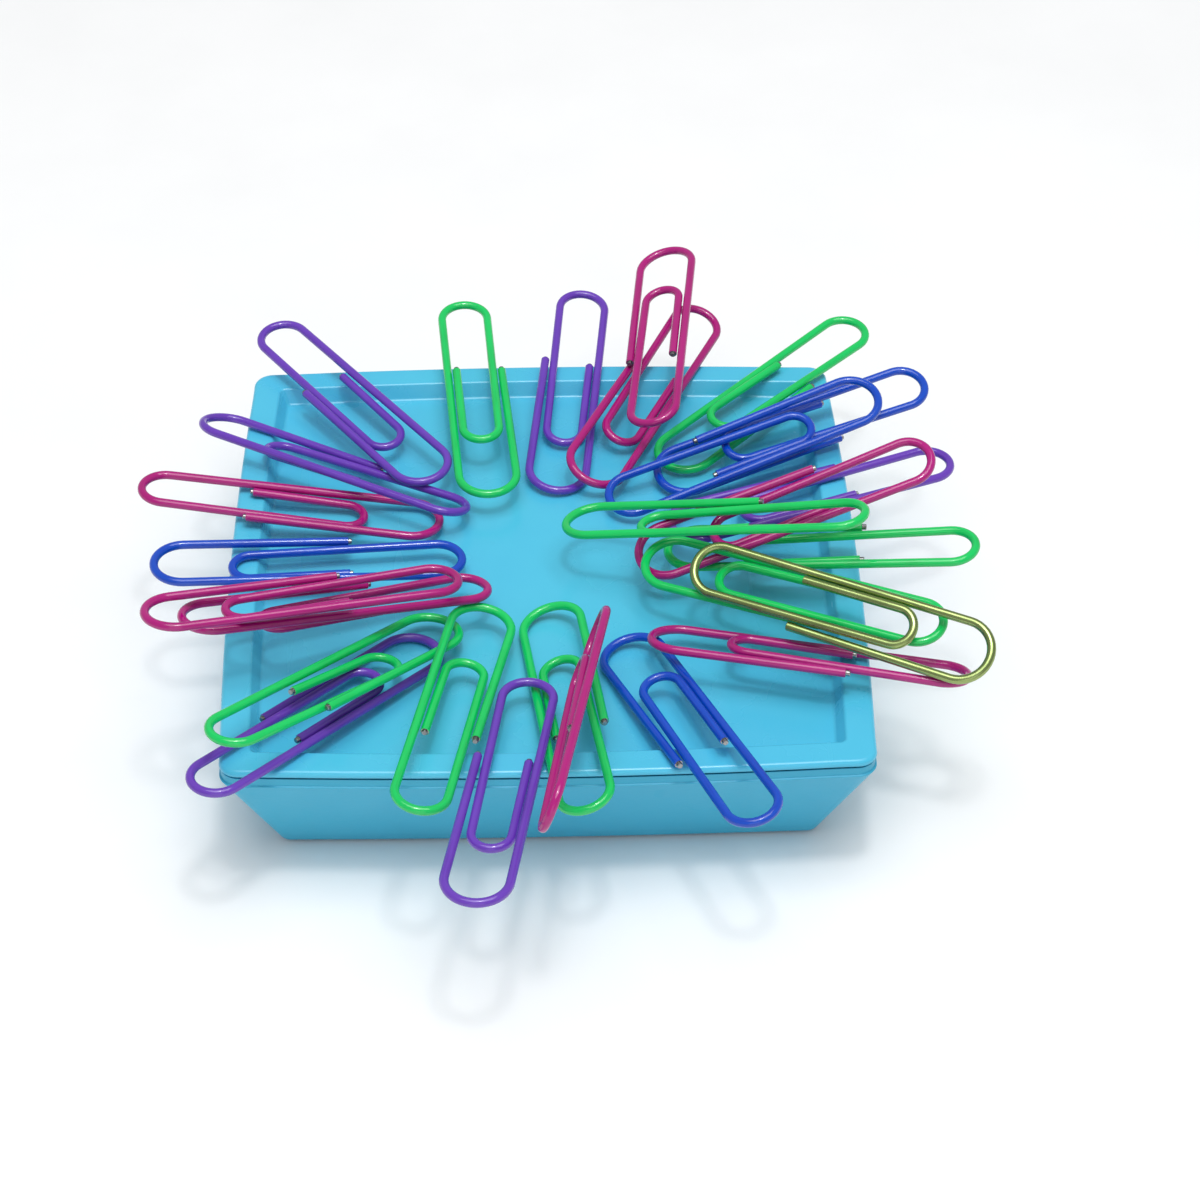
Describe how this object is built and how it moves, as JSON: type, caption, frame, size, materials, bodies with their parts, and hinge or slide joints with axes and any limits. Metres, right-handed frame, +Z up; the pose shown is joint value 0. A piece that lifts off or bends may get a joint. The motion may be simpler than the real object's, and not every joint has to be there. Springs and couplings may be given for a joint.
{
  "type": "magnetic pin cushion",
  "caption": "Square magnetic pin cushion: a two-shell moulded tray with a disc magnet under its shallow recess, holding coated wire clips in a ring.",
  "frame": {"origin": "under the middle of the tray, on the surface that it stands on", "axes": "+Z up, +Y away from the picture's camera, +X to its right"},
  "size_m": [0.1335, 0.1548, 0.0395],
  "materials": {
    "tray_plastic": "semi-gloss sky blue moulded plastic",
    "base_plastic": "semi-gloss sky blue moulded plastic",
    "ferrite": "plain sintered ferrite",
    "foam": "closed-cell foam",
    "pad_rubber": "matt non-slip foam rubber",
    "screw_steel": "zinc-plated steel",
    "clip_magenta": "glossy plastic-coated steel wire, cut ends bare",
    "clip_purple": "glossy plastic-coated steel wire, cut ends bare",
    "clip_blue": "glossy plastic-coated steel wire, cut ends bare",
    "clip_green": "glossy plastic-coated steel wire, cut ends bare",
    "clip_gold": "bright brass-plated steel wire"
  },
  "bodies": {
    "cushion": {"tray_top": "tray_plastic", "base_shell": "base_plastic", "disc_magnet": "ferrite", "magnet_foam_pad": "foam", "non_slip_pad": "pad_rubber", "case_screw_1": "screw_steel", "case_screw_2": "screw_steel", "case_screw_3": "screw_steel", "case_screw_4": "screw_steel"},
    "clip_01_purple": {"clip_01_purple": "clip_purple"},
    "clip_02_purple": {"clip_02_purple": "clip_purple"},
    "clip_03_magenta": {"clip_03_magenta": "clip_magenta"},
    "clip_04_blue": {"clip_04_blue": "clip_blue"},
    "clip_05_magenta": {"clip_05_magenta": "clip_magenta"},
    "clip_06_magenta": {"clip_06_magenta": "clip_magenta"},
    "clip_07_green": {"clip_07_green": "clip_green"},
    "clip_08_purple": {"clip_08_purple": "clip_purple"},
    "clip_09_green": {"clip_09_green": "clip_green"},
    "clip_10_purple": {"clip_10_purple": "clip_purple"},
    "clip_11_green": {"clip_11_green": "clip_green"},
    "clip_12_magenta": {"clip_12_magenta": "clip_magenta"},
    "clip_13_blue": {"clip_13_blue": "clip_blue"},
    "clip_14_magenta": {"clip_14_magenta": "clip_magenta"},
    "clip_15_gold": {"clip_15_gold": "clip_gold"},
    "clip_16_green": {"clip_16_green": "clip_green"},
    "clip_17_green": {"clip_17_green": "clip_green"},
    "clip_18_green": {"clip_18_green": "clip_green"},
    "clip_19_magenta": {"clip_19_magenta": "clip_magenta"},
    "clip_20_purple": {"clip_20_purple": "clip_purple"},
    "clip_21_blue": {"clip_21_blue": "clip_blue"},
    "clip_22_blue": {"clip_22_blue": "clip_blue"},
    "clip_23_green": {"clip_23_green": "clip_green"},
    "clip_24_magenta": {"clip_24_magenta": "clip_magenta"},
    "clip_25_magenta": {"clip_25_magenta": "clip_magenta"},
    "clip_26_purple": {"clip_26_purple": "clip_purple"},
    "clip_27_green": {"clip_27_green": "clip_green"}
  },
  "joints": [
    {"name": "clip_01_purple_pull", "type": "slide", "parent": "cushion", "child": "clip_01_purple", "axis": [-0.6082, 0.7926, 0.0436], "range_m": [0, 0.047]},
    {"name": "clip_02_purple_pull", "type": "slide", "parent": "cushion", "child": "clip_02_purple", "axis": [-0.965, 0.2586, 0.0436], "range_m": [0, 0.044]},
    {"name": "clip_03_magenta_pull", "type": "slide", "parent": "cushion", "child": "clip_03_magenta", "axis": [-0.9881, 0.1039, 0.1132], "range_m": [0, 0.039]},
    {"name": "clip_04_blue_pull", "type": "slide", "parent": "cushion", "child": "clip_04_blue", "axis": [-0.9966, -0.0697, 0.0436], "range_m": [0, 0.042]},
    {"name": "clip_05_magenta_pull", "type": "slide", "parent": "cushion", "child": "clip_05_magenta", "axis": [-0.9476, -0.2988, 0.1132], "range_m": [0, 0.044]},
    {"name": "clip_06_magenta_pull", "type": "slide", "parent": "cushion", "child": "clip_06_magenta", "axis": [-0.868, -0.4713, 0.1564], "range_m": [0, 0.053]},
    {"name": "clip_07_green_pull", "type": "slide", "parent": "cushion", "child": "clip_07_green", "axis": [-0.6632, -0.7111, 0.2334], "range_m": [0, 0.054]},
    {"name": "clip_08_purple_pull", "type": "slide", "parent": "cushion", "child": "clip_08_purple", "axis": [-0.5356, -0.8408, 0.0785], "range_m": [0, 0.041]},
    {"name": "clip_09_green_pull", "type": "slide", "parent": "cushion", "child": "clip_09_green", "axis": [-0.3368, -0.9254, 0.1736], "range_m": [0, 0.043]},
    {"name": "clip_10_purple_pull", "type": "slide", "parent": "cushion", "child": "clip_10_purple", "axis": [-0.1648, -0.9849, 0.0523], "range_m": [0, 0.024]},
    {"name": "clip_11_green_pull", "type": "slide", "parent": "cushion", "child": "clip_11_green", "axis": [0.2744, -0.9568, 0.0958], "range_m": [0, 0.045]},
    {"name": "clip_12_magenta_pull", "type": "slide", "parent": "cushion", "child": "clip_12_magenta", "axis": [-0.1814, -0.9787, 0.0958], "range_m": [0, 0.031]},
    {"name": "clip_13_blue_pull", "type": "slide", "parent": "cushion", "child": "clip_13_blue", "axis": [0.3726, -0.9221, 0.1045], "range_m": [0, 0.037]},
    {"name": "clip_14_magenta_pull", "type": "slide", "parent": "cushion", "child": "clip_14_magenta", "axis": [0.9562, -0.2923, 0.0175], "range_m": [0, 0.041]},
    {"name": "clip_15_gold_pull", "type": "slide", "parent": "cushion", "child": "clip_15_gold", "axis": [0.8867, -0.4616, 0.0262], "range_m": [0, 0.035]},
    {"name": "clip_16_green_pull", "type": "slide", "parent": "cushion", "child": "clip_16_green", "axis": [0.9344, -0.3494, 0.0698], "range_m": [0, 0.042]},
    {"name": "clip_17_green_pull", "type": "slide", "parent": "cushion", "child": "clip_17_green", "axis": [0.9829, -0.1381, 0.1219], "range_m": [0, 0.036]},
    {"name": "clip_18_green_pull", "type": "slide", "parent": "cushion", "child": "clip_18_green", "axis": [0.9433, -0.244, 0.225], "range_m": [0, 0.054]},
    {"name": "clip_19_magenta_pull", "type": "slide", "parent": "cushion", "child": "clip_19_magenta", "axis": [0.9385, 0.2081, 0.2756], "range_m": [0, 0.043]},
    {"name": "clip_20_purple_pull", "type": "slide", "parent": "cushion", "child": "clip_20_purple", "axis": [0.9425, 0.3338, 0.0175], "range_m": [0, 0.036]},
    {"name": "clip_21_blue_pull", "type": "slide", "parent": "cushion", "child": "clip_21_blue", "axis": [0.919, 0.362, 0.1564], "range_m": [0, 0.047]},
    {"name": "clip_22_blue_pull", "type": "slide", "parent": "cushion", "child": "clip_22_blue", "axis": [0.9035, 0.4023, 0.1478], "range_m": [0, 0.04]},
    {"name": "clip_23_green_pull", "type": "slide", "parent": "cushion", "child": "clip_23_green", "axis": [0.7236, 0.6867, 0.0698], "range_m": [0, 0.045]},
    {"name": "clip_24_magenta_pull", "type": "slide", "parent": "cushion", "child": "clip_24_magenta", "axis": [0.5215, 0.851, 0.061], "range_m": [0, 0.043]},
    {"name": "clip_25_magenta_pull", "type": "slide", "parent": "cushion", "child": "clip_25_magenta", "axis": [0.1132, 0.9934, 0.0175], "range_m": [0, 0.03]},
    {"name": "clip_26_purple_pull", "type": "slide", "parent": "cushion", "child": "clip_26_purple", "axis": [0.1037, 0.9871, 0.1219], "range_m": [0, 0.038]},
    {"name": "clip_27_green_pull", "type": "slide", "parent": "cushion", "child": "clip_27_green", "axis": [-0.0783, 0.9951, 0.061], "range_m": [0, 0.042]}
  ]
}
